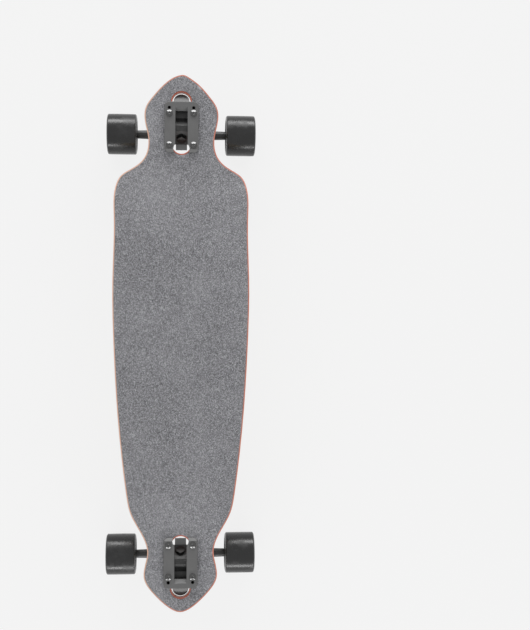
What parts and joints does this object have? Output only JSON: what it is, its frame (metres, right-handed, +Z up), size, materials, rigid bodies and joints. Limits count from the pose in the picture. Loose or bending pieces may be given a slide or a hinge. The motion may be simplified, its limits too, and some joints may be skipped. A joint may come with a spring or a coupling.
{
  "type": "longboard skateboard",
  "caption": "Drop-through longboard skateboard with a concave laminated deck, sprung reverse-kingpin steering trucks and free-rolling urethane wheels on ball bearings.",
  "frame": {"origin": "on the ground under the middle of the deck, where the wheels stand", "axes": "+X towards the nose, +Y to the left, +Z up; the wheel axles lie along Y at rest"},
  "size_m": [0.9151, 0.2572, 0.1048],
  "materials": {
    "grip": "coarse grit",
    "red_veneer": "stained, satin lacquer",
    "maple": "satin lacquer",
    "cross_maple": "satin lacquer",
    "underside": "printed, gloss lacquer",
    "truck_paint": "satin black",
    "black_steel": "gloss black",
    "zinc_steel": "bright zinc",
    "axle_steel": "ground",
    "bearing_steel": "polished",
    "bearing_shield": "pressed sheet",
    "bushing_urethane": "satin",
    "black_nylon": "moulded",
    "wheel_urethane": "satin"
  },
  "bodies": {
    "board": {"bottom_veneer": "underside", "long_grain_plies": "maple", "cross_grain_plies": "cross_maple", "top_veneer": "red_veneer", "grip_tape": "grip", "front_baseplate": "truck_paint", "front_pivot_cup": "black_nylon", "front_kingpin": "black_steel", "front_kingpin_nut": "zinc_steel", "front_boardside_bushing": "bushing_urethane", "front_roadside_bushing": "bushing_urethane", "front_bushing_washers": "zinc_steel", "front_mounting_bolts": "black_steel", "front_mounting_nuts": "black_steel", "rear_baseplate": "truck_paint", "rear_pivot_cup": "black_nylon", "rear_kingpin": "black_steel", "rear_kingpin_nut": "zinc_steel", "rear_boardside_bushing": "bushing_urethane", "rear_roadside_bushing": "bushing_urethane", "rear_bushing_washers": "zinc_steel", "rear_mounting_bolts": "black_steel", "rear_mounting_nuts": "black_steel"},
    "front_axle_set": {"front_hanger": "truck_paint", "front_axle": "axle_steel", "front_axle_nuts": "zinc_steel", "front_speed_rings": "zinc_steel", "front_left_bearing_inner_races": "bearing_steel", "front_left_bearing_spacer": "axle_steel", "front_right_bearing_inner_races": "bearing_steel", "front_right_bearing_spacer": "axle_steel"},
    "front_left_wheel": {"front_left_tyre": "wheel_urethane", "front_left_core": "black_nylon", "front_left_bearing_outer_races": "bearing_steel", "front_left_bearing_shields": "bearing_shield"},
    "front_left_ball_set": {"front_left_bearing_balls": "bearing_steel"},
    "front_right_wheel": {"front_right_tyre": "wheel_urethane", "front_right_core": "black_nylon", "front_right_bearing_outer_races": "bearing_steel", "front_right_bearing_shields": "bearing_shield"},
    "front_right_ball_set": {"front_right_bearing_balls": "bearing_steel"},
    "rear_axle_set": {"rear_hanger": "truck_paint", "rear_axle": "axle_steel", "rear_axle_nuts": "zinc_steel", "rear_speed_rings": "zinc_steel", "rear_left_bearing_inner_races": "bearing_steel", "rear_left_bearing_spacer": "axle_steel", "rear_right_bearing_inner_races": "bearing_steel", "rear_right_bearing_spacer": "axle_steel"},
    "rear_left_wheel": {"rear_left_tyre": "wheel_urethane", "rear_left_core": "black_nylon", "rear_left_bearing_outer_races": "bearing_steel", "rear_left_bearing_shields": "bearing_shield"},
    "rear_left_ball_set": {"rear_left_bearing_balls": "bearing_steel"},
    "rear_right_wheel": {"rear_right_tyre": "wheel_urethane", "rear_right_core": "black_nylon", "rear_right_bearing_outer_races": "bearing_steel", "rear_right_bearing_shields": "bearing_shield"},
    "rear_right_ball_set": {"rear_right_bearing_balls": "bearing_steel"}
  },
  "joints": [
    {"name": "front_steer", "type": "hinge", "parent": "board", "child": "front_axle_set", "pos_m": [0.3711, 0, 0.0615], "axis": [0.6428, 0, 0.766], "range_deg": [-20, 20], "stiffness_Nm_per_rad": 40, "deforming": ["front_boardside_bushing", "front_roadside_bushing"]},
    {"name": "front_left_spin", "type": "hinge", "parent": "front_axle_set", "child": "front_left_wheel", "pos_m": [0.3641, 0.103, 0.035], "axis": [0, 1, 0], "continuous": true},
    {"name": "front_left_ball_roll", "type": "hinge", "parent": "front_axle_set", "child": "front_left_ball_set", "pos_m": [0.3641, 0.103, 0.035], "axis": [0, 1, 0], "continuous": true},
    {"name": "front_right_spin", "type": "hinge", "parent": "front_axle_set", "child": "front_right_wheel", "pos_m": [0.3641, -0.103, 0.035], "axis": [0, 1, 0], "continuous": true},
    {"name": "front_right_ball_roll", "type": "hinge", "parent": "front_axle_set", "child": "front_right_ball_set", "pos_m": [0.3641, -0.103, 0.035], "axis": [0, 1, 0], "continuous": true},
    {"name": "rear_steer", "type": "hinge", "parent": "board", "child": "rear_axle_set", "pos_m": [-0.376, 0, 0.0615], "axis": [-0.6428, 0, 0.766], "range_deg": [-20, 20], "stiffness_Nm_per_rad": 40, "deforming": ["rear_boardside_bushing", "rear_roadside_bushing"]},
    {"name": "rear_left_spin", "type": "hinge", "parent": "rear_axle_set", "child": "rear_left_wheel", "pos_m": [-0.369, 0.103, 0.035], "axis": [0, 1, 0], "continuous": true},
    {"name": "rear_left_ball_roll", "type": "hinge", "parent": "rear_axle_set", "child": "rear_left_ball_set", "pos_m": [-0.369, 0.103, 0.035], "axis": [0, 1, 0], "continuous": true},
    {"name": "rear_right_spin", "type": "hinge", "parent": "rear_axle_set", "child": "rear_right_wheel", "pos_m": [-0.369, -0.103, 0.035], "axis": [0, 1, 0], "continuous": true},
    {"name": "rear_right_ball_roll", "type": "hinge", "parent": "rear_axle_set", "child": "rear_right_ball_set", "pos_m": [-0.369, -0.103, 0.035], "axis": [0, 1, 0], "continuous": true}
  ],
  "couplings": [
    {"joint": "front_left_ball_roll", "follows": "front_left_spin", "ratio": 0.63233},
    {"joint": "front_right_ball_roll", "follows": "front_right_spin", "ratio": 0.63233},
    {"joint": "rear_left_ball_roll", "follows": "rear_left_spin", "ratio": 0.63233},
    {"joint": "rear_right_ball_roll", "follows": "rear_right_spin", "ratio": 0.63233}
  ]
}
